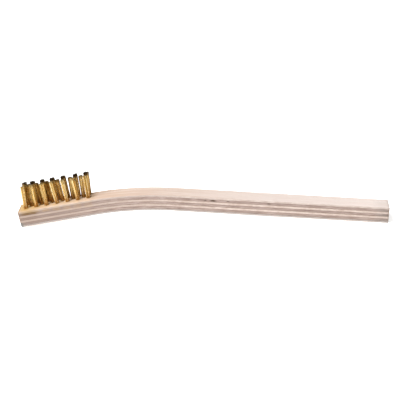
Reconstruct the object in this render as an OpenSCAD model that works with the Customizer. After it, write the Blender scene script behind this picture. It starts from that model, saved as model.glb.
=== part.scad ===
// A small hand wire brush. Its handle is a strip of seven-ply laminated wood, bent once
// behind the head, and three staggered rows of brass wire tufts stand in blind holes.
// Each tuft is folded round a flat steel anchor, whose ends bite into the wood.
// The frame has +X from the head's end to the handle's end, +Y from the wide margin of
// wood to the narrow one and +Z up. The brush rests on its two lower end edges with the
// tufts up, and the origin is on that surface, in the middle of the brush's length.

/* [Handle] */
// Length of the flat strip before it is bent
blank_length = 196.85; // [160:0.05:260]
// Width of the strip
width = 11.1; // [8.5:0.1:20]
// Thickness of each of the two outer plies
face_ply = 1.05; // [0.8:0.01:1.8]
// Thickness of each inner ply
core_ply = 1.32; // [1.05:0.01:2]
// Number of inner plies
core_count = 5; // [5:2:9]

/* [Bend] */
// Radius of the bend, along the underside
bend_radius = 172; // [80:1:300]
// Angle between the head and the handle
bend_angle = 13.8; // [5:0.1:25]
// Number of flats that make up the bend
bend_flats = 28; // [8:1:60]

/* [Tuft holes] */
// Tufts in each outer row
row_tufts = 7; // [4:1:10]
// Distance from one tuft to the next in a row
tuft_pitch = 5.74; // [4.6:0.01:8]
// Distance from one row to the next
row_spacing = 2.3; // [1.9:0.05:3]
// Wood between the head's end and the first tuft's middle
end_margin = 4; // [2.5:0.1:8]
// Wood between the back edge and the middle of the back row
edge_margin = 2.05; // [1.6:0.05:3]
// Straight wood between the last tuft's middle and the bend
bend_margin = 2.56; // [1.5:0.01:12]
// Diameter of a tuft's hole
hole_d = 2.3; // [1.8:0.05:2.8]
// Depth of a tuft's hole, along its axis
hole_depth = 6; // [4.5:0.1:7]
// Lean of the holes from square towards the handle
rake = 4.4; // [0:0.1:8]

/* [Tufts] */
// Height of the trimmed wire ends above the head
trim = 12.7; // [8:0.1:25]
// Diameter of a tuft at its wire ends
tip_d = 2.6; // [2.3:0.05:3.2]
// Radial clearance of a tuft in its hole
tuft_gap = 0.05; // [0.02:0.01:0.15]

/* [Anchors] */
// Thickness of the flat anchor wire
anchor_t = 0.45; // [0.3:0.05:0.8]
// Height of the flat anchor wire
anchor_h = 1.4; // [0.8:0.1:1.8]
// Length of each anchor end in the wood
anchor_bite = 0.4; // [0.2:0.05:0.6]
// Height of the folded wires under the anchor
fold_h = 0.7; // [0.4:0.1:1]

/* [Hidden] */
$fn = 48;
// The strip
thickness = 2 * face_ply + core_count * core_ply;
head_length = end_margin + (row_tufts - 1) * tuft_pitch + bend_margin;
bend_length = (bend_radius + thickness / 2) * bend_angle * PI / 180;
handle_length = blank_length - head_length - bend_length;
// The slopes of head and handle that put both lower end edges on one level surface
end_edge = end_point(0);
head_slope = atan2(-end_edge[1], end_edge[0]);
handle_slope = bend_angle - head_slope;
span = norm(end_edge);
middle_x = (span + thickness * (sin(handle_slope) - sin(head_slope))) / 2;
// The rows
ROWS = ["front", "middle", "back"];
tuft_d = hole_d - 2 * tuft_gap;
anchor_length = hole_d + 2 * anchor_bite;
cut_over = 1;

TUFTS = [for (row = [0:2]) for (i = [1:tufts_in(row)]) [row, i]];

// The middle row stands half a pitch along, so it has one tuft less
function tufts_in(row) = row == 1 ? row_tufts - 1 : row_tufts;
function tuft_x(t) = end_margin + (t[1] - 1) * tuft_pitch + (t[0] == 1 ? tuft_pitch / 2 : 0);
function tuft_y(t) = width / 2 - edge_margin - (2 - t[0]) * row_spacing;
function tuft_name(kind, t) = str(kind, "_", ROWS[t[0]], "_", t[1]);

// Plies are counted from the top. The underside of ply k is ply_low(k) above the strip's
function ply_name(k) = k == 1 ? "face_ply_top"
    : k == core_count + 2 ? "face_ply_bottom"
    : str("core_ply_", k - 1);
function ply_low(k) = k > core_count + 1 ? 0 : face_ply + (core_count + 1 - k) * core_ply;
function ply_high(k) = k == 1 ? thickness : ply_low(k - 1);

// The strip's side view in the head's own frame: the point that lies h above the underside
// at an angle into the bend, the point at the handle's end, and the whole line between
function bend_point(h, angle) = [
    head_length + (bend_radius + h) * sin(angle),
    (bend_radius + h) * cos(angle) - bend_radius
];
function end_point(h) =
    bend_point(h, bend_angle) + handle_length * [cos(bend_angle), -sin(bend_angle)];
function side_line(h) = concat(
    [[0, h]],
    [for (j = [0:bend_flats]) bend_point(h, bend_angle * j / bend_flats)],
    [end_point(h)]
);
function reversed(points) = [for (j = [len(points) - 1:-1:0]) points[j]];

// Puts the head's own frame, with its origin at the middle of its lower end edge and X
// along its underside, where the resting brush has it
module in_head() {
    translate([-middle_x, 0, 0]) rotate([0, -head_slope, 0]) children();
}

// Puts a hole's own frame, with its origin at the middle of its mouth, into the head's
module in_hole(t) {
    translate([tuft_x(t), tuft_y(t), thickness]) rotate([0, rake, 0]) children();
}

// One layer of the bent strip, between two heights above its underside
module bent_layer(low, high) {
    translate([0, width / 2, 0]) rotate([90, 0, 0]) linear_extrude(width)
        polygon(concat(side_line(low), reversed(side_line(high))));
}

module anchor_blank() {
    translate([-anchor_length / 2, -anchor_t / 2, fold_h - hole_depth])
        cube([anchor_length, anchor_t, anchor_h]);
}

// The drilled hole with the seat that the anchor's ends cut in its wall
module tuft_hole() {
    translate([0, 0, -hole_depth]) cylinder(d = hole_d, h = hole_depth + cut_over);
    anchor_blank();
}

// The wires of one tuft as a round bundle that opens a little towards its ends
module wire_bundle() {
    length = trim + tip_d;
    opening = (tip_d - tuft_d) / trim;
    translate([0, 0, -hole_depth]) cylinder(d = tuft_d, h = hole_depth);
    cylinder(d1 = tuft_d, d2 = tuft_d + opening * length, h = length);
}

module ply(k) {
    long_grain = k % 2 == 1;
    color(long_grain ? "#e6cdb6" : "#b98f74") in_head() difference() {
        bent_layer(ply_low(k), ply_high(k));
        for (t = TUFTS) in_hole(t) tuft_hole();
    }
}

module tuft(t) {
    color("#b8903c") in_head() difference() {
        in_hole(t) wire_bundle();
        in_hole(t) anchor_blank();
        translate([0, -width, thickness + trim]) cube([blank_length, 2 * width, 2 * tip_d]);
    }
}

module anchor(t) {
    color("#a8a8a4") in_head() in_hole(t) anchor_blank();
}

for (k = [1:core_count + 2]) ply(k);
for (t = TUFTS) tuft(t);
for (t = TUFTS) anchor(t);
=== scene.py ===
# %% [markdown]
# # A small hand wire brush
# The brush is a slim strip of birch plywood, bent once behind the head, with three rows of
# brass wire tufts. The CAD frame already has every part in its place. This lesson gives
# each part its real surface: the veneers of the strip, the folded wires of each tuft and
# the little flat anchors that hold them. All making is done in millimetres and turned
# into metres when a mesh is written.

import bpy
import numpy as np
from mathutils import Matrix, Vector


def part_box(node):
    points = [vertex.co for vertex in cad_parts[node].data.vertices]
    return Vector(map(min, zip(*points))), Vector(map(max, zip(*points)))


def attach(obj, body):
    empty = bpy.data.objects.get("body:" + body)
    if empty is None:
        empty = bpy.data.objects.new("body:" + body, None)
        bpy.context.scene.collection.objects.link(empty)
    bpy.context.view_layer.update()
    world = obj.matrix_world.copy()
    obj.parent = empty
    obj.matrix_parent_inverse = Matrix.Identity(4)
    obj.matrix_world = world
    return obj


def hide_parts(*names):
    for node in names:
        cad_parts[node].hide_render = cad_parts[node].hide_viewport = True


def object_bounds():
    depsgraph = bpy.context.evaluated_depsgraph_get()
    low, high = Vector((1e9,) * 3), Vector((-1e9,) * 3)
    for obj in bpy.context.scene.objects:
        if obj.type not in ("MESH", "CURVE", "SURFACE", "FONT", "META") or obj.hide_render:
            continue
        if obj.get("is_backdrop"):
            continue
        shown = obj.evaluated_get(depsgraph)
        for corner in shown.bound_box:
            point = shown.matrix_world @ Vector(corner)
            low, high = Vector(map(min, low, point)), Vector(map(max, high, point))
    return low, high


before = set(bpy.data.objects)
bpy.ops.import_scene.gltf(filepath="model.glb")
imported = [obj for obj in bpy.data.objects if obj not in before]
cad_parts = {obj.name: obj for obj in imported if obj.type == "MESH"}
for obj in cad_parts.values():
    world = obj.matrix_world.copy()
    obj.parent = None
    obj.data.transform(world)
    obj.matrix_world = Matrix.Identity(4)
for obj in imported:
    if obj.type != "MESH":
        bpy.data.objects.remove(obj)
cad_low, cad_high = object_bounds()
MM = 0.001
print("CAD box, mm:", [round(v / MM, 2) for v in (*cad_low, *cad_high)])

# %% [markdown]
# ## Camera
# A long lens from a little over half a metre keeps the slim handle nearly straight in the
# view. The camera looks down at the brush from the side, turned a few degrees towards the
# head end and rolled slightly.

# %% Camera
LENS_MM = 110.6
CAMERA_DISTANCE = 652.3
CAMERA_RISE = np.radians(23.31)
CAMERA_TURN = np.radians(-3.28)
CAMERA_ROLL = np.radians(-2.03)
LOOK_AT = np.array([-1.25, 0.0, 12.22])
CLIP_START = 10.0


def camera_axes(rise, turn, roll):
    """Right, up and backward unit vectors of a camera that looks along +Y, lowered by the
    rise, turned about Z and then rolled about its own line of sight."""
    forward = np.array([np.sin(turn) * np.cos(rise), np.cos(turn) * np.cos(rise), -np.sin(rise)])
    level = np.array([np.cos(turn), -np.sin(turn), 0.0])
    upright = np.cross(level, forward)
    right = np.cos(roll) * level + np.sin(roll) * upright
    up = np.cos(roll) * upright - np.sin(roll) * level
    return right, up, -forward


right, up, backward = camera_axes(CAMERA_RISE, CAMERA_TURN, CAMERA_ROLL)
camera = bpy.data.objects.new("camera", bpy.data.cameras.new("camera"))
bpy.context.scene.collection.objects.link(camera)
camera.data.lens = LENS_MM
camera.data.clip_start = CLIP_START * MM
place = np.eye(4)
place[:3, 0], place[:3, 1], place[:3, 2] = right, up, backward
place[:3, 3] = (LOOK_AT + CAMERA_DISTANCE * backward) * MM
camera.matrix_world = Matrix(place.tolist())
bpy.context.scene.camera = camera
print("camera at, mm:", np.round(place[:3, 3] / MM, 1))

# %% [markdown]
# ## Floor and light
# The brush lies on a light table: white acrylic that glows a little from below, as is usual
# when goods are shown on white, so hardly any shadow is left under the bend. A white world
# stands for a light tent, bright low down and dimmer overhead. One large soft lamp above
# the handle and one beside the head give the bare wood and the wires their shape.

# %% Node helpers
def add_node(tree, kind, **settings):
    """A node of one kind in a material's tree, with its settings and input values. A name
    that is an input's name sets or links that input, and any other sets a property."""
    made = tree.nodes.new("ShaderNode" + kind)
    for name, value in settings.items():
        label = name.replace("_", " ")
        socket = next((s for s in made.inputs if s.enabled and s.name == label), None)
        if socket is None:
            setattr(made, name, value)
        elif isinstance(value, bpy.types.NodeSocket):
            tree.links.new(value, socket)
        else:
            socket.default_value = value
    return made


def new_material(name):
    """An empty node material, and its tree."""
    material = bpy.data.materials.new(name)
    material.use_nodes = True
    material.node_tree.nodes.clear()
    return material, material.node_tree


def finish_material(tree, shader):
    """Joins the shader to the material's output."""
    add_node(tree, "OutputMaterial", Surface=shader.outputs[0])


# %% Light table
TABLE_SIZE = 60000.0
TABLE_WHITE = (0.93, 0.93, 0.93, 1)
TABLE_GLOW = 0.61


def light_table():
    """A level square about the origin, of white acrylic that glows evenly."""
    half = TABLE_SIZE / 2 * MM
    corners = [(-half, -half, 0), (half, -half, 0), (half, half, 0), (-half, half, 0)]
    mesh = bpy.data.meshes.new("floor")
    mesh.from_pydata(corners, [], [(0, 1, 2, 3)])
    material, tree = new_material("white light table")
    acrylic = add_node(tree, "BsdfPrincipled", Base_Color=TABLE_WHITE, Roughness=0.9,
                       Specular_IOR_Level=0.1, Emission_Color=(1, 1, 1, 1), Emission_Strength=TABLE_GLOW)
    finish_material(tree, acrylic)
    mesh.materials.append(material)
    table = bpy.data.objects.new("floor", mesh)
    bpy.context.scene.collection.objects.link(table)
    return table


floor = light_table()
floor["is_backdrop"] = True
print("light table, m across:", TABLE_SIZE * MM)

# %% Light tent
TENT_BRIGHT, TENT_DIM = 1.0, 0.3
TENT_EDGE_LOW, TENT_EDGE_HIGH = 0.17, 0.4


def light_tent():
    """A white world. The Z of a direction's unit vector, which is the sine of its height
    above the horizon, dims it from one strength to the other."""
    world = bpy.data.worlds.new("light tent")
    world.use_nodes = True
    tree = world.node_tree
    way = add_node(tree, "SeparateXYZ", Vector=add_node(tree, "TexCoord").outputs["Generated"])
    cloth = add_node(tree, "MapRange", Value=way.outputs["Z"], From_Min=TENT_EDGE_LOW,
                     From_Max=TENT_EDGE_HIGH, To_Min=TENT_BRIGHT, To_Max=TENT_DIM)
    background = tree.nodes["Background"]
    background.inputs["Color"].default_value = (1, 1, 1, 1)
    tree.links.new(cloth.outputs[0], background.inputs["Strength"])
    return world


bpy.context.scene.world = light_tent()
print("tent dims at heights of, degrees:", np.degrees(np.arcsin([TENT_EDGE_LOW, TENT_EDGE_HIGH])).round(1))

# %% Lamps
# For each lamp its place and its size in millimetres, and its strength in watts
LAMPS = {
    "key_lamp": ((-380, -240, 1150), 420, 13.6),
    "side_lamp": ((-700, -260, 330), 260, 3.8),
}


def soft_lamp(name, place_mm, size_mm, watts):
    """A square area lamp at a place, aimed at the middle of the brush."""
    lamp = bpy.data.objects.new(name, bpy.data.lights.new(name, "AREA"))
    bpy.context.scene.collection.objects.link(lamp)
    lamp.data.size = size_mm * MM
    lamp.data.energy = watts
    lamp.location = Vector(place_mm) * MM
    lamp.rotation_mode = "QUATERNION"
    lamp.rotation_quaternion = lamp.location.to_track_quat("Z", "Y")


for name, (place_mm, size_mm, watts) in LAMPS.items():
    soft_lamp(name, place_mm, size_mm, watts)
bpy.context.scene.view_settings.view_transform = "Standard"
print("lamps:", list(LAMPS))

# %% [markdown]
# ## The bent strip
# Bent plywood is easiest to describe flat. A point of the flat strip has a distance s from
# the head's end, a place y across the width and a height h above the underside. Bending
# turns the part after the head about one axis below it, and resting the brush on its two
# lower end edges tilts the whole. Both steps are formulas, so they run both ways: from flat
# to bent to place a surface, and from bent to flat so that the grain follows the bend.

# %% Sizes of the strip
STRIP_LENGTH = 196.85
FACE_VENEER = 1.05
CORE_VENEER = 1.32
CORE_COUNT = 5
HEAD_LENGTH = 41.0
BEND_RADIUS = 172.0
BEND_ANGLE = np.radians(13.8)

strip_width = (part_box("face_ply_top")[1].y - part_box("face_ply_top")[0].y) / MM
strip_height = 2 * FACE_VENEER + CORE_COUNT * CORE_VENEER
middle_radius = BEND_RADIUS + strip_height / 2
bend_length = middle_radius * BEND_ANGLE
handle_length = STRIP_LENGTH - HEAD_LENGTH - bend_length
print("width", round(strip_width, 2), "height", round(strip_height, 2), "handle", round(handle_length, 2))


# %% From flat to bent
def bend_flat(s, h):
    """Side view of the bent strip with the head level. Before the bend x = s and z = h.
    In the bend the point turns by the angle (s - head) / middle radius about the bend's
    centre. Behind it, the point runs on straight."""
    angle = np.clip((s - HEAD_LENGTH) / middle_radius, 0, BEND_ANGLE)
    beyond = np.maximum(s - HEAD_LENGTH - bend_length, 0)
    x = np.minimum(s, HEAD_LENGTH) + (BEND_RADIUS + h) * np.sin(angle) + beyond * np.cos(BEND_ANGLE)
    z = (BEND_RADIUS + h) * np.cos(angle) - BEND_RADIUS - beyond * np.sin(BEND_ANGLE)
    return x, z


end_x, end_z = bend_flat(STRIP_LENGTH, 0.0)
head_slope = np.arctan2(-end_z, end_x)
head_start = cad_low.x / MM + strip_height * np.sin(head_slope)


def place_strip(s, y, h):
    """Flat strip coordinates to places on the resting brush, as an array with a last axis
    of three: the side view is tilted by the head's slope and moved to the head's end."""
    x, z = bend_flat(s, h)
    along = x * np.cos(head_slope) - z * np.sin(head_slope) + head_start
    rise = x * np.sin(head_slope) + z * np.cos(head_slope)
    return np.stack(np.broadcast_arrays(along, y, rise), axis=-1)


print("head slopes by, degrees:", round(np.degrees(head_slope), 2))
print("handle's lower end edge at, mm:", place_strip(STRIP_LENGTH, 0.0, 0.0).round(2))


# %% From bent to flat
def flatten(points):
    """The other way: the tilt is undone, and the angle about the bend's centre tells
    whether a point is in the head, the bend or the handle, and so its s and h."""
    along, y, rise = points[..., 0] - head_start, points[..., 1], points[..., 2]
    x = along * np.cos(head_slope) + rise * np.sin(head_slope)
    z = rise * np.cos(head_slope) - along * np.sin(head_slope)
    across, above = x - HEAD_LENGTH, z + BEND_RADIUS
    angle = np.arctan2(across, above)
    straight_on = across * np.cos(BEND_ANGLE) - above * np.sin(BEND_ANGLE)
    in_handle = angle > BEND_ANGLE
    s = np.where(angle < 0, x, HEAD_LENGTH + angle * middle_radius)
    s = np.where(in_handle, HEAD_LENGTH + bend_length + straight_on, s)
    h = np.where(angle < 0, z, np.hypot(across, above) - BEND_RADIUS)
    h_handle = across * np.sin(BEND_ANGLE) + above * np.cos(BEND_ANGLE) - BEND_RADIUS
    return np.stack([s, y, np.where(in_handle, h_handle, h)], axis=-1)


def read_points(mesh):
    """The vertices of a mesh as an array, in millimetres."""
    flat = np.zeros(len(mesh.vertices) * 3)
    mesh.vertices.foreach_get("co", flat)
    return flat.reshape(-1, 3) / MM


under_face = flatten(read_points(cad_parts["face_ply_bottom"].data))[:, 2]
print("CAD bottom veneer, h from", round(under_face.min(), 3), "to", round(under_face.max(), 3))

# %% [markdown]
# ## From a grid to a mesh
# Every surface here is a tube: a closed ring of points carried along a path. One helper
# turns a whole array of such tubes into a mesh, with an end face on each tube. Another
# gives smooth repeatable unevenness, which wood and hand work need everywhere.

# %% Skin over tubes
def skin(grid):
    """Vertices and faces for an array of tubes, shaped (tubes, stations, ring, 3). Each
    face joins two neighbours on a ring with the same two on the next ring."""
    tubes, stations, ring, _ = grid.shape
    number = np.arange(tubes * stations * ring).reshape(tubes, stations, ring)
    after = np.roll(number, -1, axis=2)
    sides = np.stack([number[:, :-1], after[:, :-1], after[:, 1:], number[:, 1:]], axis=-1)
    ends = np.concatenate([number[:, 0, ::-1], number[:, -1, :]])
    return grid.reshape(-1, 3), sides.reshape(-1, 4).tolist(), ends.tolist()


_, trial_sides, trial_ends = skin(np.zeros((2, 3, 4, 3)))
print("two tubes of three rings of four points:", len(trial_sides), "sides,", len(trial_ends), "ends")


# %% Pieces and their attributes
def new_piece(name, grid, finishes):
    """A mesh object from tubes in millimetres. Its sides take the first finish and, where
    there is a second, its end faces take that one."""
    points, sides, ends = skin(grid)
    mesh = bpy.data.meshes.new(name)
    mesh.from_pydata((points * MM).tolist(), [], sides + ends)
    for finish in finishes:
        mesh.materials.append(finish)
    slots = np.zeros(len(sides) + len(ends), dtype=np.int32)
    slots[len(sides):] = len(finishes) - 1
    mesh.polygons.foreach_set("material_index", slots)
    mesh.polygons.foreach_set("use_smooth", np.ones(len(slots), dtype=bool))
    piece = bpy.data.objects.new(name, mesh)
    bpy.context.scene.collection.objects.link(piece)
    return piece


def ride_on_root(piece, nodes):
    """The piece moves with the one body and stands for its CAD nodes."""
    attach(piece, "root")
    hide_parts(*nodes)


def store(mesh, name, kind, values):
    """Writes one value for each vertex as an attribute."""
    layer = mesh.attributes.new(name, kind, "POINT")
    field = "vector" if kind == "FLOAT_VECTOR" else "value"
    layer.data.foreach_set(field, values.astype(np.float32).ravel())


# %% Unevenness
def lattice(ix, iy, iz, seed):
    """A repeatable number from 0 to 1 for each lattice point: the fraction of a large sine."""
    value = np.sin(ix * 127.1 + iy * 311.7 + iz * 74.7 + seed * 19.19) * 43758.5453
    return value - np.floor(value)


def unevenness(x, y, z, seed):
    """Smooth noise from -1 to 1: the eight lattice values round a point, blended with the
    weight 3t^2 - 2t^3 along each axis."""
    cell = [np.floor(v) for v in (x, y, z)]
    t = [v - c for v, c in zip((x, y, z), cell)]
    weight = [v * v * (3 - 2 * v) for v in t]
    total = 0.0
    for corner in np.ndindex(2, 2, 2):
        share = 1.0
        for w, side in zip(weight, corner):
            share = share * (w if side else 1 - w)
        total = total + share * lattice(*[c + side for c, side in zip(cell, corner)], seed)
    return 2 * total - 1


trial = unevenness(np.linspace(0, 50, 500), 0.5, 0.5, 1)
print("unevenness runs from", trial.min().round(2), "to", trial.max().round(2))

# %% [markdown]
# ## Bare birch
# All seven veneers are the same wood. They look light or dark because of the way it is
# cut: along the grain a veneer shows pale fine streaks, and across it the open pores drink
# light. So one finish serves both, with the grain's direction as its only difference. The
# pattern is solid, and it is read from the flat strip's coordinates, which each veneer
# stores as an attribute, so it follows the bend and runs through to every face.

# %% Wood colours
PALE_WOOD = (0.73, 0.63, 0.58, 1)
# Warm wood for the fibres, and with painted shade over the head's end of the top face
WARM_WOOD_AND_HEAD_SHADE = (0.55, 0.40, 0.305, 1)
# Pale wood with painted light for the handle's end of the top face
PALE_WOOD_AND_HANDLE_LIGHT = (0.86, 0.75, 0.70, 1)
STREAK = (0.77, 0.68, 0.63, 1)
SAWN_LIGHT = (0.615, 0.51, 0.45, 1)
SAWN_DARK = (0.47, 0.36, 0.305, 1)
# Painted shade on the sawn sides near the head
SAWN_HEAD_SHADE = (0.37, 0.285, 0.238, 1)
GREY_LOG = (0.37, 0.34, 0.32, 1)
END_LIGHT = (0.42, 0.33, 0.29, 1)
END_DARK = (0.235, 0.168, 0.14, 1)
# Painted shade on the end grain near the head
END_HEAD_SHADE = (0.24, 0.178, 0.148, 1)
PORE = (0.18, 0.115, 0.085, 1)
MARKS = {
    "glue": (0.17, 0.10, 0.07, 1),
    # Stain and painted shade round the tufts' feet
    "foot_stain_and_shade": (0.47, 0.30, 0.11, 1),
    # The brown stain near the head, and painted shade at both ends of the strip
    "stain_and_end_shade": (0.16, 0.095, 0.045, 1),
    # Painted shade on the head's lower front corner, and grey over the handle's last part
    "corner_shade_and_end_grey": (0.15, 0.155, 0.145, 1),
    # Painted shade inside the voids
    "void_inside_shade": (0.10, 0.065, 0.045, 1),
}
ALONG, ACROSS = 0, 1
# Millimetres along the strip where the head's warmer colour with painted shade fades out, and where the
# handle end's paler colour with painted light grows in
HEAD_SHADE_FADES = (50.0, 130.0)
HANDLE_LIGHT_GROWS = (140.0, 185.0)
# Millimetres along the strip where the painted shade near the head fades out on the sawn sides and on the
# end grain
SAWN_HEAD_SHADE_FADES = (25.0, 110.0)
END_HEAD_SHADE_FADES = (22.0, 52.0)
print("marks that a veneer can carry:", list(MARKS))


# %% Shortcuts for patterns
def stretched(tree, coordinates, scale):
    """Coordinates multiplied along each axis by its own scale."""
    return add_node(tree, "Mapping", Vector=coordinates, Scale=scale).outputs[0]


def blend(tree, factor, first, second):
    """Mixes two colours by a factor."""
    made = add_node(tree, "Mix", data_type="RGBA")
    for socket, value in zip([made.inputs[0], made.inputs[6], made.inputs[7]], [factor, first, second]):
        if isinstance(value, bpy.types.NodeSocket):
            tree.links.new(value, socket)
        else:
            socket.default_value = value
    return made.outputs[2]


def stepped(tree, value, low, high, to_low=0.0, to_high=1.0):
    """A value carried from one range to another, and held inside it."""
    made = add_node(tree, "MapRange", Value=value, From_Min=low, From_Max=high,
                    To_Min=to_low, To_Max=to_high)
    return made.outputs[0]


# %% What a pattern reads
def noise_on(tree, coordinates, scale, detail, roughness=0.5):
    """Noise whose cells for each millimetre are given along the three axes."""
    made = add_node(tree, "TexNoise", Vector=stretched(tree, coordinates, scale), Scale=1.0, Detail=detail,
                    Roughness=roughness)
    return made.outputs["Fac"]


def grain_noise(tree, flat, grain, scale, stretch, detail):
    """Noise that is drawn out along the grain. The scale is in cells for each millimetre
    across the grain, and the stretch is how many times longer the cells are along it."""
    cells = [scale] * 3
    cells[grain] = scale / stretch
    return noise_on(tree, flat, cells, detail, 0.6)


def facing(tree, axis):
    """How squarely a surface faces along one axis, as 0 to 1: the size of its normal's part."""
    normal = add_node(tree, "SeparateXYZ", Vector=add_node(tree, "TexCoord").outputs["Normal"])
    size = add_node(tree, "Math", operation="ABSOLUTE")
    tree.links.new(normal.outputs[axis], size.inputs[0])
    return stepped(tree, size.outputs[0], 0.5, 0.85)


def carried(tree, attribute):
    """The number that a piece stores at each vertex under this name."""
    return add_node(tree, "Attribute", attribute_name=attribute).outputs["Fac"]


# %% The three cuts of birch
def planed_face(tree, along, fibre, band, pores):
    """The planed face: warmer and darker at the head, partly the wood's colour and partly painted
    shade, pale behind it and lighter at the handle's end, partly painted light, with darker fibres, light
    streaks and faint pores."""
    face = blend(tree, stepped(tree, along, *HEAD_SHADE_FADES, 1.0, 0.0), PALE_WOOD, WARM_WOOD_AND_HEAD_SHADE)
    face = blend(tree, stepped(tree, along, *HANDLE_LIGHT_GROWS, 0.0, 0.8), face, PALE_WOOD_AND_HANDLE_LIGHT)
    face = blend(tree, stepped(tree, fibre, 0.4, 0.72, 0.0, 0.5), face, WARM_WOOD_AND_HEAD_SHADE)
    face = blend(tree, stepped(tree, band, 0.45, 0.7, 0.0, 0.6), face, STREAK)
    return blend(tree, stepped(tree, pores, 0.0, 1.0, 0.0, 0.16), face, END_LIGHT)


def sawn_side(tree, along, cloud, torn):
    """The side left by the saw: cloudy, darker at the head with painted shade, greyed as far as
    the veneer's grey attribute says, and dark where fibres are torn."""
    side = blend(tree, stepped(tree, cloud, 0.36, 0.62), SAWN_DARK, SAWN_LIGHT)
    side = blend(tree, stepped(tree, along, *SAWN_HEAD_SHADE_FADES, 0.9, 0.0), side, SAWN_HEAD_SHADE)
    side = blend(tree, carried(tree, "grey"), side, GREY_LOG)
    return blend(tree, stepped(tree, torn, 0.0, 1.0, 0.0, 0.4), side, END_DARK)


def end_grain(tree, flat, along, pores, torn):
    """The cut across the grain: bands of growth, darker at the head with painted shade, with open pores."""
    rings = noise_on(tree, flat, (0.16, 0.5, 1.7), 5.0, 0.65)
    cut_across = blend(tree, stepped(tree, rings, 0.36, 0.64), END_DARK, END_LIGHT)
    cut_across = blend(tree, stepped(tree, along, *END_HEAD_SHADE_FADES, 0.85, 0.0), cut_across, END_HEAD_SHADE)
    cut_across = blend(tree, stepped(tree, pores, 0.0, 1.0, 0.0, 0.35), cut_across, PORE)
    return blend(tree, stepped(tree, torn, 0.0, 1.0, 0.0, 0.5), cut_across, PORE)


# %% Birch
def birch(name, grain):
    """Bare birch whose grain runs along one axis of the flat strip. The way a surface faces
    picks its cut, the marks lie over it, and fibres, pores and tears give the relief."""
    material, tree = new_material(name)
    flat = add_node(tree, "Attribute", attribute_name="strip").outputs["Vector"]
    along = add_node(tree, "SeparateXYZ", Vector=flat).outputs[0]
    fibre = grain_noise(tree, flat, grain, 4.5, 30, 5.0)
    band = grain_noise(tree, flat, grain, 0.55, 22, 3.0)
    cloud = grain_noise(tree, flat, grain, 0.8, 2.5, 4.0)
    torn = stepped(tree, noise_on(tree, flat, (0.9, 1.6, 1.9), 4.0, 0.7), 0.60, 0.70)
    pore_cells = [6.0] * 3
    pore_cells[grain] = 0.5
    pore = add_node(tree, "TexVoronoi", Vector=stretched(tree, flat, pore_cells), Scale=1.0)
    pores = stepped(tree, pore.outputs["Distance"], 0.1, 0.28, 1.0, 0.0)

    face = planed_face(tree, along, fibre, band, pores)
    side = blend(tree, facing(tree, ACROSS), face, sawn_side(tree, along, cloud, torn))
    colour = blend(tree, facing(tree, grain), side, end_grain(tree, flat, along, pores, torn))
    for mark, tint in MARKS.items():
        colour = blend(tree, carried(tree, mark), colour, tint)

    relief = add_node(tree, "Bump", Strength=0.4, Distance=0.06 * MM, Height=fibre)
    dents = add_node(tree, "Bump", Strength=0.5, Distance=0.08 * MM, Height=pores,
                     Normal=relief.outputs[0], invert=True)
    tears = add_node(tree, "Bump", Strength=0.6, Distance=0.1 * MM, Height=torn,
                     Normal=dents.outputs[0], invert=True)
    roughness = stepped(tree, fibre, 0.2, 0.8, 0.55, 0.8)
    wood = add_node(tree, "BsdfPrincipled", Base_Color=colour, Roughness=roughness,
                    Specular_IOR_Level=0.25, Normal=tears.outputs[0])
    finish_material(tree, wood)
    return material


long_veneer = birch("birch, grain along the handle", ALONG)
cross_veneer = birch("birch, grain across the handle", ACROSS)
print("nodes in each birch:", len(long_veneer.node_tree.nodes))

# %% [markdown]
# ## Veneers
# On the real brush the veneers are glued, bent, sawn to width and sanded by hand: the top
# corners are well rounded, the lower ones just broken, and a hairline shows at each glue
# line. A bevelled box with a bend modifier could do for one veneer. Here each is a rounded
# rectangle carried along the strip instead, so that every corner has its own radius and
# neighbours meet exactly. The ring is laid out flat, pushed out and in a little by
# unevenness, and then bent.

# %% Cross section of a veneer
SANDED = 0.3
BROKEN = 0.12
HAIRLINE = 0.045
CORNER_STEPS = 4
SIDE_POINTS = 6
FACE_POINTS = 18
GLUED_POINTS = 5


def quarter(y, h, radius, start):
    """A quarter circle about (y, h) from a start angle, with its outward normals."""
    angle = start + np.linspace(0, np.pi / 2, CORNER_STEPS)
    normal = np.stack([np.cos(angle), np.sin(angle)], axis=-1)
    return np.array([y, h]) + radius * normal, normal


def straight(first, last, count, normal):
    """Evenly spaced points between two others, and their shared normal."""
    share = np.linspace(0, 1, count + 2)[1:-1, None]
    return first + share * (last - first), np.tile(normal, (count, 1))


def veneer_ring(low, high, low_radius, high_radius, wide_points):
    """The cross section as one closed ring: four quarter circles joined by straight runs.
    Returns places (y, h) and outward normals."""
    edge = strip_width / 2
    corners = [
        quarter(edge - low_radius, low + low_radius, low_radius, -np.pi / 2),
        quarter(edge - high_radius, high - high_radius, high_radius, 0.0),
        quarter(high_radius - edge, high - high_radius, high_radius, np.pi / 2),
        quarter(low_radius - edge, low + low_radius, low_radius, np.pi),
    ]
    places, normals = [], []
    for k, (place_k, normal_k) in enumerate(corners):
        count = SIDE_POINTS if k % 2 == 0 else wide_points
        run, run_normal = straight(place_k[-1], corners[(k + 1) % 4][0][0], count, normal_k[-1])
        places += [place_k, run]
        normals += [normal_k, run_normal]
    return np.concatenate(places), np.concatenate(normals)


print("points round the top veneer:", len(veneer_ring(0, FACE_VENEER, HAIRLINE, SANDED, FACE_POINTS)[0]))

# %% Stations along the strip
STATION_GAP = 0.55
END_EASE = 0.16
EASE_ANGLES = np.radians([0, 22, 45, 68])


def strip_stations():
    """Distances from the head's end: close together over the eased ends, even between."""
    ease = END_EASE * (1 - np.cos(EASE_ANGLES))
    count = int(round((STRIP_LENGTH - 2 * END_EASE) / STATION_GAP))
    between = np.linspace(END_EASE, STRIP_LENGTH - END_EASE, count + 1)
    return np.concatenate([ease, between, STRIP_LENGTH - ease[::-1]])


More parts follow.
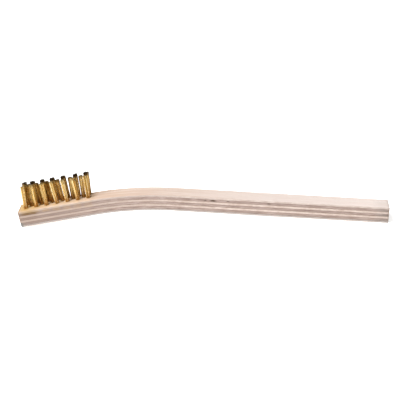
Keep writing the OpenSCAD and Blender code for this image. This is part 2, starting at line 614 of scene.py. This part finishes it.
def eased(s):
    """How far the surface draws in near a strip end: a quarter circle, r - sqrt(r^2 - d^2),
    where d is the distance into the rounding."""
    into = np.clip(END_EASE - np.minimum(s, STRIP_LENGTH - s), 0, END_EASE)
    return END_EASE - np.sqrt(END_EASE**2 - into**2)


print("stations along the strip:", len(strip_stations()))

# %% Small voids in the upper cross veneer
VOID_VENEER, VOID_DEPTH = 2, 0.5
# For each void its place along the strip, its half length and its half height
VOIDS = [(104.2, 1.5, 0.50), (100.1, 0.5, 0.22), (112.1, 0.6, 0.20), (133.6, 0.8, 0.25)]
cross_middle = strip_height - FACE_VENEER - CORE_VENEER / 2


def voids(s, h):
    """How open the voids are at a place on the side, 0 to 1: each falls off from its middle
    with exp(-distance^2), the distance counted in half lengths and half heights."""
    return sum(np.exp(-(((s - at) / length) ** 2) - ((h - cross_middle) / height) ** 2)
               for at, length, height in VOIDS)


void_places = np.array([place for place, _, _ in VOIDS])
print("open at the voids' middles:", voids(void_places, cross_middle).round(2))

# %% Veneer surfaces
WAVE = 0.012
WAVE_CELLS = (7.0, 3.0, 3.0)
SAW_CELLS = (0.9, 0.9, 0.5)
SAW_ROUGH = {ALONG: 0.006, ACROSS: 0.014}
SUNK = {ALONG: 0.012, ACROSS: 0.03}
SAW_SEED = 20


def grain_of(number):
    """Every second veneer from the top has its grain across the strip."""
    return ACROSS if number % 2 == 0 else ALONG


def uneven(s, y, h, cells, seed):
    """Unevenness with cells of the given sizes, in millimetres."""
    return unevenness(s / cells[0], y / cells[1], h / cells[2], seed)


def veneer_grid(number, low, high):
    """One veneer as a tube of rings. Outer faces draw in at the ends, the side edges of
    cross veneers stand a hair lower, and all exposed faces are slightly uneven."""
    top, bottom, grain = number == 1, number == CORE_COUNT + 2, grain_of(number)
    ring, normal = veneer_ring(
        low, high,
        BROKEN if bottom else HAIRLINE,
        SANDED if top else HAIRLINE,
        FACE_POINTS if top or bottom else GLUED_POINTS,
    )
    s = strip_stations()[:, None]
    y, h = ring[None, :, 0], ring[None, :, 1]
    out_y, out_h = normal[None, :, 0], normal[None, :, 1]
    shown_h = np.maximum(out_h, 0) * top + np.maximum(-out_h, 0) * bottom
    shown = np.hypot(out_y, shown_h)
    push = WAVE * uneven(s, y, h, WAVE_CELLS, number)
    push = push + SAW_ROUGH[grain] * uneven(s, y, h, SAW_CELLS, number + SAW_SEED) - SUNK[grain]
    if number == VOID_VENEER:
        push = push - VOID_DEPTH * voids(s, h) * (out_y < -0.5)
    push = (push - eased(s)) * shown
    return place_strip(s, y + push * out_y, h + push * out_h)[None]


print("grid of the top veneer:", veneer_grid(1, strip_height - FACE_VENEER, strip_height).shape)

# %% All veneers
levels = np.cumsum([0.0, FACE_VENEER] + [CORE_VENEER] * CORE_COUNT + [FACE_VENEER])[::-1]
layers = list(zip(levels[1:], levels[:-1]))
plies = ["face_ply_top"] + [f"core_ply_{k}" for k in range(1, CORE_COUNT + 1)] + ["face_ply_bottom"]
veneers = []
for number, (ply, (low, high)) in enumerate(zip(plies, layers), start=1):
    across = grain_of(number) == ACROSS
    finish = cross_veneer if across else long_veneer
    veneer = new_piece(f"veneer_{number}", veneer_grid(number, low, high), [finish])
    ride_on_root(veneer, [ply])
    veneers.append(veneer)
print("veneers:", len(veneers), "faces:", [len(veneer.data.polygons) for veneer in veneers])

# %% [markdown]
# ## Drilled holes
# The holes lean a few degrees towards the handle. Their places come from the CAD anchors:
# an anchor sits on its hole's axis, a known distance below the mouth, and a row of anchors
# gives the head's direction. A round hole doesn't fit into a grid of straight lines, so the
# veneers are drilled with a Boolean, as a drill would, by round cutters that open slightly
# at the mouth, and then by the anchors' seats.

# %% Hole places
HOLE_LEAN = np.radians(4.4)
HOLE_RADIUS = 1.15
HOLE_DEPTH = 6.0
FOLD_HEIGHT = 0.7
ANCHOR_LENGTH, ANCHOR_THICK, ANCHOR_HIGH = 3.1, 0.45, 1.4
TRIM = 12.7
ROWS = {"front": 7, "middle": 6, "back": 7}
tufts = [(row, i) for row, count in ROWS.items() for i in range(1, count + 1)]


def anchor_middle(row, i):
    """The middle of a CAD anchor, in millimetres."""
    low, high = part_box(f"anchor_{row}_{i}")
    return np.array((low + high) / 2) / MM


row_line = anchor_middle("front", ROWS["front"]) - anchor_middle("front", 1)
head_x = row_line / np.linalg.norm(row_line)
head_z = np.array([-head_x[2], 0.0, head_x[0]])
hole_x = np.cos(HOLE_LEAN) * head_x - np.sin(HOLE_LEAN) * head_z
hole_z = np.cos(HOLE_LEAN) * head_z + np.sin(HOLE_LEAN) * head_x
hole_axes = np.stack([hole_x, [0.0, 1.0, 0.0], hole_z])
anchor_depth = HOLE_DEPTH - FOLD_HEIGHT - ANCHOR_HIGH / 2
mouths = {tuft: anchor_middle(*tuft) + anchor_depth * hole_z for tuft in tufts}
print("holes:", len(mouths), "pitch", round(np.linalg.norm(row_line) / (ROWS["front"] - 1), 3))


def from_hole(tuft, points):
    """Points in a hole's own frame (x along the head, z out of the mouth) to the brush."""
    return mouths[tuft] + points @ hole_axes


# %% Cutters
CUTTER_SIDES = 28
MOUTH_FLARE = 0.09
FLARE_DEPTH = 0.12
CUTTER_TOP, TOP_FLARE = 0.6, 0.55


def round_cutter(tuft):
    """A drill as a tube: rings of a circle at four heights, flared at the mouth."""
    height = np.array([-HOLE_DEPTH, -FLARE_DEPTH, 0.0, CUTTER_TOP])
    radius = HOLE_RADIUS + np.array([0.0, 0.0, MOUTH_FLARE, TOP_FLARE])
    angle = np.linspace(0, 2 * np.pi, CUTTER_SIDES, endpoint=False)
    circle = np.stack([np.cos(angle), np.sin(angle)], axis=-1)
    rings = np.zeros((len(height), len(angle), 3))
    rings[..., :2] = radius[:, None, None] * circle
    rings[..., 2] = height[:, None]
    return from_hole(tuft, rings)


def seat_cutter(tuft):
    """The seat of an anchor: a box as a tube of two rectangular rings."""
    half = np.array([ANCHOR_LENGTH, ANCHOR_THICK]) / 2
    rings = np.zeros((2, 4, 3))
    rings[..., :2] = np.array([[1, -1], [1, 1], [-1, 1], [-1, -1]]) * half
    rings[..., 2] = np.array([[-0.5], [0.5]]) * ANCHOR_HIGH - anchor_depth
    return from_hole(tuft, rings)


drills = np.stack([round_cutter(tuft) for tuft in tufts])
seats = np.stack([seat_cutter(tuft) for tuft in tufts])
print("drills:", drills.shape, "seats:", seats.shape)


# %% Drilling
def cut(piece, cutter_grid):
    """Takes the cutters' tubes away from a piece with an exact Boolean."""
    cutter = new_piece("cutter", cutter_grid, [])
    boolean = piece.modifiers.new("cut", "BOOLEAN")
    boolean.operation, boolean.solver, boolean.object = "DIFFERENCE", "EXACT", cutter
    graph = bpy.context.evaluated_depsgraph_get()
    carved = bpy.data.meshes.new_from_object(piece.evaluated_get(graph))
    piece.modifiers.clear()
    old, piece.data = piece.data, carved
    bpy.data.meshes.remove(old)
    bpy.data.objects.remove(cutter)


def veneers_between(shallow, deep):
    """The veneers that a cut between two depths under the head's face goes into."""
    return [veneer for veneer, (low, high) in zip(veneers, layers)
            if strip_height - high < deep and strip_height - low > shallow]


for veneer in veneers_between(0.0, HOLE_DEPTH):
    cut(veneer, drills)
for veneer in veneers_between(anchor_depth - ANCHOR_HIGH / 2, anchor_depth + ANCHOR_HIGH / 2):
    cut(veneer, seats)
print("faces of the drilled veneers:", [len(v.data.polygons) for v in veneers])

# %% [markdown]
# ## Marks of use and making, and painted shade
# A real strip isn't clean. The wood is yellow-brown round the holes, partly stained and partly
# darkened with painted shade at the tufts' feet, and the side has a brown mark near the head's
# end, as a hot saw can leave. Painted shade darkens both ends of the strip, the lower front
# corner of the head and the small voids, the handle's last part turns a little grey, and glue
# shows as a thin dark line. Such marks could be painted by hand. Here each is a formula of the
# place that gives a strength from 0 to 1, which every vertex stores, and the birch finish lays
# the mark's colour over the wood by that strength.

# %% Places and strengths of the marks
FRONT_Y = -5.0
# Stain and painted shade round the tufts' feet: how far it reaches from a hole's rim, and the power that
# shapes its fall-off
FOOT_STAIN_AND_SHADE_REACH, FOOT_STAIN_AND_SHADE_FADE = 4.0, 0.6
# The strength of the stain and painted shade round the holes at three distances from the head's end
FOOT_STAIN_AND_SHADE_AT, FOOT_STAIN_AND_SHADE_STRENGTH = [0, 12, 40], [1.2, 0.85, 0.35]
# The same yellow-brown on the top veneer's front side, along the brown mark
EDGE_TINT = 0.6
BROWN_AT, BROWN_HALF = 6.0, 4.6
# How strongly each veneer takes the brown mark, from the top one down
STAINED = [0.24, 0.98, 0.14, 0.2, 0.08, 0.06, 0.15]
# Painted shade at both ends of the strip: its strength at the end, and the distance over which it falls off
END_SHADE, END_SHADE_FADE = 0.45, 0.5
# Painted shade on the lower front corner of the head: its strength, and how fast it falls off
CORNER_SHADE, CORNER_FADE = 1.7, 0.9
# Grey over the handle's last part: where it starts, how far it grows, and its strength on each grain
GREY_END_FROM, GREY_END_OVER = 188.0, 4.0
GREY_END = {ALONG: 0.1, ACROSS: 0.3}
VOID_SHADE, VOID_REACH = 1.3, 1.0
GLUE_SHADE, GLUE_REACH = 0.6, 1.2 * HAIRLINE
GREYNESS = {1: 0.2, CORE_COUNT + 2: 0.75}
print("veneers by the strength of the brown mark:", (np.argsort(STAINED)[::-1] + 1).tolist())


# %% Where the marks lie
def near_hole(points):
    """How near a point is to the rim of a hole: 1 at the rim, fading to 0 over the reach,
    and 0 below the top veneer. The distance is measured from each hole's axis."""
    away = np.stack([points - mouths[tuft] for tuft in tufts])
    depth = away @ hole_z
    distance = np.linalg.norm(away - depth[..., None] * hole_z, axis=-1) - HOLE_RADIUS
    return np.clip(1 - distance.min(0) / FOOT_STAIN_AND_SHADE_REACH, 0, 1) * (depth.max(0) > -FACE_VENEER)


def brown_mark(s, y):
    """A mark on the front side: flat round its middle, with exp(-distance^4) at its ends."""
    return np.exp(-(((s - BROWN_AT) / BROWN_HALF) ** 4)) * (y < FRONT_Y)


print("brown mark at 6, 9 and 12 mm:", brown_mark(np.array([6.0, 9.0, 12.0]), -strip_width / 2).round(2))


# %% Strength of each mark
PATCH_CELLS, PATCH_SEED = (1.3, 1.3, 1.0), 7
PATCHY_FOOT_STAIN_AND_SHADE, PATCHY_STAIN = [0.75, 1.25], [0.85, 1.15]


def foot_stain_and_shade_marks(number, points, s, y, patches):
    """Yellow-brown round the holes, partly a stain and partly painted shade at the tufts' feet, strongest
    at the head's end, and on the top veneer's side.
    """
    stained_and_shaded = near_hole(points) ** FOOT_STAIN_AND_SHADE_FADE * np.interp(s, FOOT_STAIN_AND_SHADE_AT, FOOT_STAIN_AND_SHADE_STRENGTH)
    stained_and_shaded = np.maximum(stained_and_shaded, EDGE_TINT * brown_mark(s, y) * (number == 1))
    return stained_and_shaded * np.interp(patches, [-1, 1], PATCHY_FOOT_STAIN_AND_SHADE)


def stain_and_end_shade_marks(number, s, y, patches):
    """The brown mark on the side, and a darker rim of painted shade at both ends of the strip."""
    from_end = np.minimum(s, STRIP_LENGTH - s)
    scorched = STAINED[number - 1] * brown_mark(s, y) * np.interp(patches, [-1, 1], PATCHY_STAIN)
    return scorched + END_SHADE * np.exp(-from_end / END_SHADE_FADE)


def corner_shade_and_end_grey_marks(number, s, y):
    """Painted shade on the lower front corner of the head, and grey a little over the handle's last part.
    """
    corner = CORNER_SHADE * np.exp(-s / CORNER_FADE) * (number > CORE_COUNT) * (y < FRONT_Y)
    return corner + GREY_END[grain_of(number)] * np.clip((s - GREY_END_FROM) / GREY_END_OVER, 0, 1)


def glue_marks(h):
    """Glue shows where a surface is within a hairline of the line between two veneers."""
    from_glue = np.abs(h[:, None] - levels[1:-1]).min(1)
    return GLUE_SHADE * (from_glue < GLUE_REACH)


def void_marks(s, y, h):
    """Painted shade inside the voids, on the front side and as far in as they reach."""
    return VOID_SHADE * voids(s, h) * (y < VOID_REACH - strip_width / 2)


# %% Marks on the veneers
PATTERN_STEP = 37.0
SHARP_WOOD = np.radians(32)


def mark_veneer(number, mesh):
    """Stores the flat coordinates, moved on for each veneer so that no two share a pattern,
    and then every mark, held between 0 and 1."""
    points = read_points(mesh)
    strip = flatten(points)
    s, y, h = strip.T
    patches = uneven(s, y, h, PATCH_CELLS, PATCH_SEED)
    store(mesh, "strip", "FLOAT_VECTOR", strip + [0.0, 0.0, PATTERN_STEP * number])
    marks = {
        "glue": glue_marks(h),
        "grey": np.full(len(s), GREYNESS.get(number, 0.0)),
        "foot_stain_and_shade": foot_stain_and_shade_marks(number, points, s, y, patches),
        "stain_and_end_shade": stain_and_end_shade_marks(number, s, y, patches),
        "corner_shade_and_end_grey": corner_shade_and_end_grey_marks(number, s, y),
        "void_inside_shade": void_marks(s, y, h),
    }
    marks = {mark: np.clip(strength, 0, 1) for mark, strength in marks.items()}
    for mark, strength in marks.items():
        store(mesh, mark, "FLOAT", strength)
    mesh.polygons.foreach_set("use_smooth", np.ones(len(mesh.polygons), dtype=bool))
    mesh.set_sharp_from_angle(angle=SHARP_WOOD)
    return marks


for number, veneer in enumerate(veneers, start=1):
    marks = mark_veneer(number, veneer.data)
    print("veneer", number, {mark: round(float(strength.max()), 2) for mark, strength in marks.items()})

# %% [markdown]
# ## Brass wire
# Drawn brass is bright along its length and dark at its cut ends, partly with oxide and partly
# with painted shade, most on the middle and back rows, which are also painted darker as shade.
# No two wires are quite the same: some are pale gold, some brown. A material for each shade
# would be hard to keep alike. So each wire stores its own tone, how much oxide and painted
# shade its tip takes and the height along it, and one finish mixes its colour from these.

# %% Drawn brass
BRASS_DARK = (0.20, 0.10, 0.018, 1)
BRASS = (0.66, 0.42, 0.115, 1)
BRASS_BRIGHT = (0.98, 0.84, 0.48, 1)
BRASS_SMUDGE = (0.38, 0.22, 0.06, 1)
# Painted shade at the tufts' feet, darker and warmer low down
BRASS_FOOT_SHADE = (0.50, 0.25, 0.06, 1)
# Oxide and painted shade at the wire tips, strongest on the rear rows
BRASS_TIP_OXIDE_AND_SHADE = (0.10, 0.055, 0.02, 1)


def brass_wire():
    """Drawn brass: bare metal, coloured by its tone, darker and warmer at the foot with painted
    shade, darkened at the tip with oxide and painted shade as far as its attribute says, and smudged in
    spots."""
    material, tree = new_material("drawn brass wire")
    ramp = add_node(tree, "ValToRGB", Fac=carried(tree, "tone"))
    stops = ramp.color_ramp.elements
    stops[0].color = BRASS_DARK
    stops[1].color = BRASS_BRIGHT
    stops.new(0.45).color = BRASS
    place_on = add_node(tree, "TexCoord").outputs["Object"]
    spots = add_node(tree, "TexNoise", Vector=place_on, Scale=1400.0, Detail=3.0).outputs["Fac"]
    colour = blend(tree, stepped(tree, spots, 0.45, 0.75, 0.0, 0.5), ramp.outputs["Color"], BRASS_SMUDGE)
    rise = carried(tree, "rise")
    # Painted shade at the foot of the wires
    colour = blend(tree, stepped(tree, rise, 0.0, 0.4, 0.55, 0.0), colour, BRASS_FOOT_SHADE)
    near_tip = add_node(tree, "Math", operation="MULTIPLY")
    tree.links.new(stepped(tree, rise, 0.84, 0.95), near_tip.inputs[0])
    tree.links.new(carried(tree, "tip_oxide_and_shade"), near_tip.inputs[1])
    colour = blend(tree, near_tip.outputs[0], colour, BRASS_TIP_OXIDE_AND_SHADE)
    roughness = stepped(tree, spots, 0.3, 0.7, 0.2, 0.38)
    metal = add_node(tree, "BsdfPrincipled", Base_Color=colour, Roughness=roughness, Metallic=1.0)
    finish_material(tree, metal)
    return material


wire_finish = brass_wire()
print("wire finish:", wire_finish.name)

# %% Cut wire ends
# Cut ends with oxide and painted shade, and bare sheared ends
END_OXIDE_AND_SHADE_DARK, END_OXIDE_AND_SHADE_LIGHT = (0.035, 0.018, 0.008, 1), (0.12, 0.07, 0.03, 1)
CUT_DARK, CUT_LIGHT = (0.45, 0.29, 0.08, 1), (0.80, 0.62, 0.30, 1)


def cut_brass():
    """The trimmed wire ends: sheared metal, from bright to dark brown with oxide and painted shade, as far
    as its tuft's attribute says.
    """
    material, tree = new_material("cut wire ends")
    place_on = add_node(tree, "TexCoord").outputs["Object"]
    grains = add_node(tree, "TexNoise", Vector=place_on, Scale=6000.0, Detail=2.0).outputs["Fac"]
    oxide_and_shade = blend(tree, grains, END_OXIDE_AND_SHADE_DARK, END_OXIDE_AND_SHADE_LIGHT)
    colour = blend(tree, carried(tree, "tip_oxide_and_shade"), blend(tree, grains, CUT_DARK, CUT_LIGHT), oxide_and_shade)
    burr = add_node(tree, "Bump", Strength=0.6, Distance=0.02 * MM, Height=grains)
    metal = add_node(tree, "BsdfPrincipled", Base_Color=colour, Roughness=0.6, Metallic=0.6,
                     Normal=burr.outputs[0])
    finish_material(tree, metal)
    return material


end_finish = cut_brass()
print("end finish:", end_finish.name)

# %% [markdown]
# ## Tufts
# A tuft is some forty wires folded in two round its anchor, so it has twice as many ends.
# Each wire is one thin tube along a U: down one side, under the anchor and up the other
# side. Hair curves could make such a bundle, but tubes are real surfaces with end faces,
# which other programs can read too. The places of the legs at the mouth follow a sunflower
# spiral, which fills a circle evenly. Above the head the legs gather in a few loose clumps,
# and each tuft leans a little its own way, as worn wires do.

# %% Sizes of the tufts
WIRE_RADIUS = 0.085
WIRE_SIDES = 5
LEGS = 88
MOUTH_SPREAD = 1.05
TIP_SPREAD = {"front": 1.22, "middle": 1.2, "back": 1.45}
# How far each row's ends lie under the trim, and how far each tuft's ends lean along the head
LOWERED = {"front": 0.25, "middle": 0.5, "back": 0.0}
LEANS = {
    "front": [0.3, -0.3, -0.8, -1.3, -0.75, -1.0, -0.1],
    "middle": [0.0, -1.2, -1.4, -1.2, -0.1, 0.2],
    "back": [0.4, -1.0, -1.2, -1.5, -1.2, -0.3, -0.1],
}
CLUMPS, CLUMP_SHIFT, CLUMP_BLUR = 5, 0.10, 0.35
TIP_SCATTER, CUT_SCATTER = 0.035, 0.07
BOW, BOW_LOW = 0.05, 0.3
STRAY_SHARE, STRAY_SCATTER, STRAY_SHORT = 0.035, 0.28, 0.25
LEG_STATIONS = np.array([1.0, 0.74, 0.49, 0.24, 0.0])


def sunflower(count):
    """Points that fill a circle of radius one evenly: the radius grows with the square root
    of the number, and each point turns by the golden angle."""
    k = np.arange(count) + 0.5
    angle = k * np.pi * (3 - np.sqrt(5))
    return np.sqrt(k / count)[:, None] * np.stack([np.cos(angle), np.sin(angle)], axis=-1)


filled = LEGS * (WIRE_RADIUS / MOUTH_SPREAD) ** 2
print("share of the mouth that the legs fill:", round(filled, 2))


# %% Legs above the head
def leg_paths(random, mouth, row, lean):
    """The free part of each leg, tip first: straight from its place at the mouth to its
    place in the trimmed face, with a small bow. Shaped (legs, stations, 3)."""
    count = len(mouth)
    centre = random.normal(0, CLUMP_SHIFT, (CLUMPS, 2))
    angle = np.arctan2(mouth[:, 1], mouth[:, 0]) + CLUMP_BLUR * random.normal(size=count)
    clump = np.floor((angle + np.pi) / (2 * np.pi) * CLUMPS).astype(int) % CLUMPS
    tip = mouth * TIP_SPREAD[row] / MOUTH_SPREAD + centre[clump] + random.normal(0, TIP_SCATTER, (count, 2))
    stray = random.random(count) > 1 - STRAY_SHARE
    tip = tip + stray[:, None] * random.normal(0, STRAY_SCATTER, (count, 2)) + np.array([lean, 0.0])
    bow = random.normal(0, BOW, (count, 2))
    trimmed = TRIM - LOWERED[row] + random.normal(0, CUT_SCATTER, count)
    trimmed = trimmed - STRAY_SHORT * stray * random.random(count)
    height = (trimmed + tip[:, 0] * np.sin(HOLE_LEAN)) / np.cos(HOLE_LEAN)
    share = LEG_STATIONS[None, :, None]
    arch = np.sin(np.pi * share) * (1 - BOW_LOW * share)
    path = np.zeros((count, len(LEG_STATIONS), 3))
    path[..., :2] = mouth[:, None] + (tip - mouth)[:, None] * share + bow[:, None] * arch
    path[..., 2] = height[:, None] * LEG_STATIONS
    return path


print("heights of a leg's stations, mm:", (TRIM * LEG_STATIONS).round(1))

# %% Folded wires
FOLD_NEAR = ANCHOR_THICK / 2 + WIRE_RADIUS
FOLD_SPREAD = 0.62
FOLD_SQUEEZE = 0.82
FOLD_ANGLES = np.radians([0, 60, 120, 180])


def wire_paths(random, row, lean):
    """All wires of a tuft as U-shaped lines in the hole's frame, shaped (wires, points, 3).
    Under the anchor, a wire runs round half an ellipse that just clears it."""
    disc = sunflower(LEGS) * MOUTH_SPREAD
    near = disc[disc[:, 1] > 0]
    legs = leg_paths(random, np.concatenate([near, near * [1, -1]]), row, lean)
    first, second = legs[:len(near)], legs[len(near):]
    beside = FOLD_NEAR + FOLD_SPREAD * near[:, 1]
    squeezed = FOLD_SQUEEZE * near[:, 0]
    low = FOLD_HEIGHT - HOLE_DEPTH
    deep = WIRE_RADIUS + (FOLD_HEIGHT - 2 * WIRE_RADIUS) * near[:, 1]
    fold_y = beside[:, None] * np.cos(FOLD_ANGLES)
    fold_z = low - deep[:, None] * np.sin(FOLD_ANGLES)
    fold = np.stack(np.broadcast_arrays(squeezed[:, None], fold_y, fold_z), axis=-1)
    over = np.stack(np.broadcast_arrays(squeezed, beside, low + ANCHOR_HIGH), axis=-1)[:, None]
    return np.concatenate([first, over, fold, over * [1, -1, 1], second[:, ::-1]], axis=1)


def tubes(paths, radius, sides):
    """Rings round each path. The first ring axis is the hole's X made square to the path's
    direction t, and the second is t crossed with it."""
    step = np.gradient(paths, axis=1)
    t = step / np.linalg.norm(step, axis=-1, keepdims=True)
    first = np.array([1.0, 0.0, 0.0]) - t[..., :1] * t
    first = first / np.linalg.norm(first, axis=-1, keepdims=True)
    second = np.cross(t, first)
    angle = np.linspace(0, 2 * np.pi, sides, endpoint=False)
    ring = first[..., None, :] * np.cos(angle)[:, None] + second[..., None, :] * np.sin(angle)[:, None]
    return paths[..., None, :] + radius * ring


print("innermost fold clears the middle by, mm:", round(FOLD_NEAR, 3))

# %% All tufts
SEED = 41
# Each row's tone: the brass's own, with the middle and back rows lowered as painted shade
ROW_TONE_AND_SHADE = {"front": 0.64, "middle": 0.49, "back": 0.44}
TUFT_TONES, WIRE_TONES = 0.04, 0.12
# Two sets of strands: how many stand round a tuft, and how far they change the tone
STRANDS, STRAND_TURN = [(4, 0.24), (9, 0.14)], 6
# How much oxide and painted shade each row's tips and cut ends take: the rear rows, which stand in shade,
# take most
TIP_OXIDE_AND_SHADE = {"front": 0.25, "middle": 0.55, "back": 0.95}
TIP_SHADE_SCATTER = 0.15
SHARP_WIRE = np.radians(50)


def wire_tones(random, paths, row):
    """A tone for each wire: its row's, which is lower for the middle and back rows with painted
    shade, changed by its tuft, by strands that come and go round the tuft as sines of the angle, and by
    itself."""
    around = np.arctan2(paths[:, len(LEG_STATIONS) - 1, 1], paths[:, len(LEG_STATIONS) - 1, 0])
    strands = sum(size * np.sin(count * around + random.uniform(0, STRAND_TURN)) for count, size in STRANDS)
    tone = random.normal(ROW_TONE_AND_SHADE[row], TUFT_TONES) + strands + random.normal(0, WIRE_TONES, len(paths))
    return np.clip(tone, 0, 1)


random = np.random.default_rng(SEED)
for row, i in tufts:
    paths = wire_paths(random, row, LEANS[row][i - 1])
    grid = tubes(paths, WIRE_RADIUS, WIRE_SIDES)
    piece = new_piece(f"wires_{row}_{i}", from_hole((row, i), grid), [wire_finish, end_finish])
    on_wire = paths.shape[1] * WIRE_SIDES
    store(piece.data, "tone", "FLOAT", np.repeat(wire_tones(random, paths, row), on_wire))
    tip_oxide_and_shade = np.clip(TIP_OXIDE_AND_SHADE[row] + random.normal(0, TIP_SHADE_SCATTER, len(paths)), 0, 1)
    store(piece.data, "tip_oxide_and_shade", "FLOAT", np.repeat(tip_oxide_and_shade, on_wire))
    store(piece.data, "rise", "FLOAT", grid[..., 2].ravel() / TRIM)
    piece.data.set_sharp_from_angle(angle=SHARP_WIRE)
    ride_on_root(piece, [f"tuft_{row}_{i}"])
print("tufts:", len(tufts), "wires in each:", len(paths), "faces in each:", len(piece.data.polygons))

# %% [markdown]
# ## Anchors
# An anchor is a short length of flat steel wire. Rolling leaves its long edges round, and
# shearing to length draws the ends down a little. A bevelled cube would come close. The
# tube helper makes it as well, as a rounded rectangle carried along the hole's X that is
# smaller at both ends.

# %% Steel finish
STEEL_DARK, STEEL_LIGHT = (0.42, 0.42, 0.41, 1), (0.62, 0.62, 0.60, 1)


def steel_finish():
    """Drawn flat steel wire with fine lines along it."""
    material, tree = new_material("flat steel wire")
    place_on = add_node(tree, "TexCoord").outputs["Object"]
    lines = noise_on(tree, place_on, (150, 9000, 9000), 2.0)
    colour = blend(tree, lines, STEEL_DARK, STEEL_LIGHT)
    roughness = stepped(tree, lines, 0.3, 0.7, 0.28, 0.5)
    metal = add_node(tree, "BsdfPrincipled", Base_Color=colour, Roughness=roughness, Metallic=1.0)
    finish_material(tree, metal)
    return material


anchor_finish = steel_finish()
print("steel finish:", anchor_finish.name)

# %% Anchors
ANCHOR_SIDES = 16
ROUNDING = 0.35
ALONG_ANCHOR = np.array([-0.5, -0.485, -0.44, 0.44, 0.485, 0.5])
DRAWN_DOWN = np.array([0.86, 0.95, 1.0, 1.0, 0.95, 0.86])
SHARP_STEEL = np.radians(40)


def anchor_grid(tuft):
    """Six rings along the anchor, each the closed curve of sign(cos) |cos|^n and
    sign(sin) |sin|^n, which a small n turns from a circle into a rounded rectangle."""
    angle = (np.arange(ANCHOR_SIDES) + 0.5) * 2 * np.pi / ANCHOR_SIDES
    across = np.sign(np.cos(angle)) * np.abs(np.cos(angle)) ** ROUNDING
    upward = np.sign(np.sin(angle)) * np.abs(np.sin(angle)) ** ROUNDING
    size = DRAWN_DOWN[:, None] / 2
    rings = np.stack(np.broadcast_arrays(
        ALONG_ANCHOR[:, None] * ANCHOR_LENGTH,
        size * across * ANCHOR_THICK,
        size * upward * ANCHOR_HIGH - anchor_depth), axis=-1)
    return from_hole(tuft, rings)[None]


for row, i in tufts:
    piece = new_piece(f"flat_anchor_{row}_{i}", anchor_grid((row, i)), [anchor_finish])
    piece.data.set_sharp_from_angle(angle=SHARP_STEEL)
    ride_on_root(piece, [f"anchor_{row}_{i}"])
print("anchors:", len(tufts), "faces in each:", len(piece.data.polygons))

# %% [markdown]
# ## Sizes
# The last step measures the finished brush, as the CAD box was measured at the start.

# %% Sizes and finish
low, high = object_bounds()
print("visual box, mm:", [round(v / MM, 2) for v in (*low, *high)])
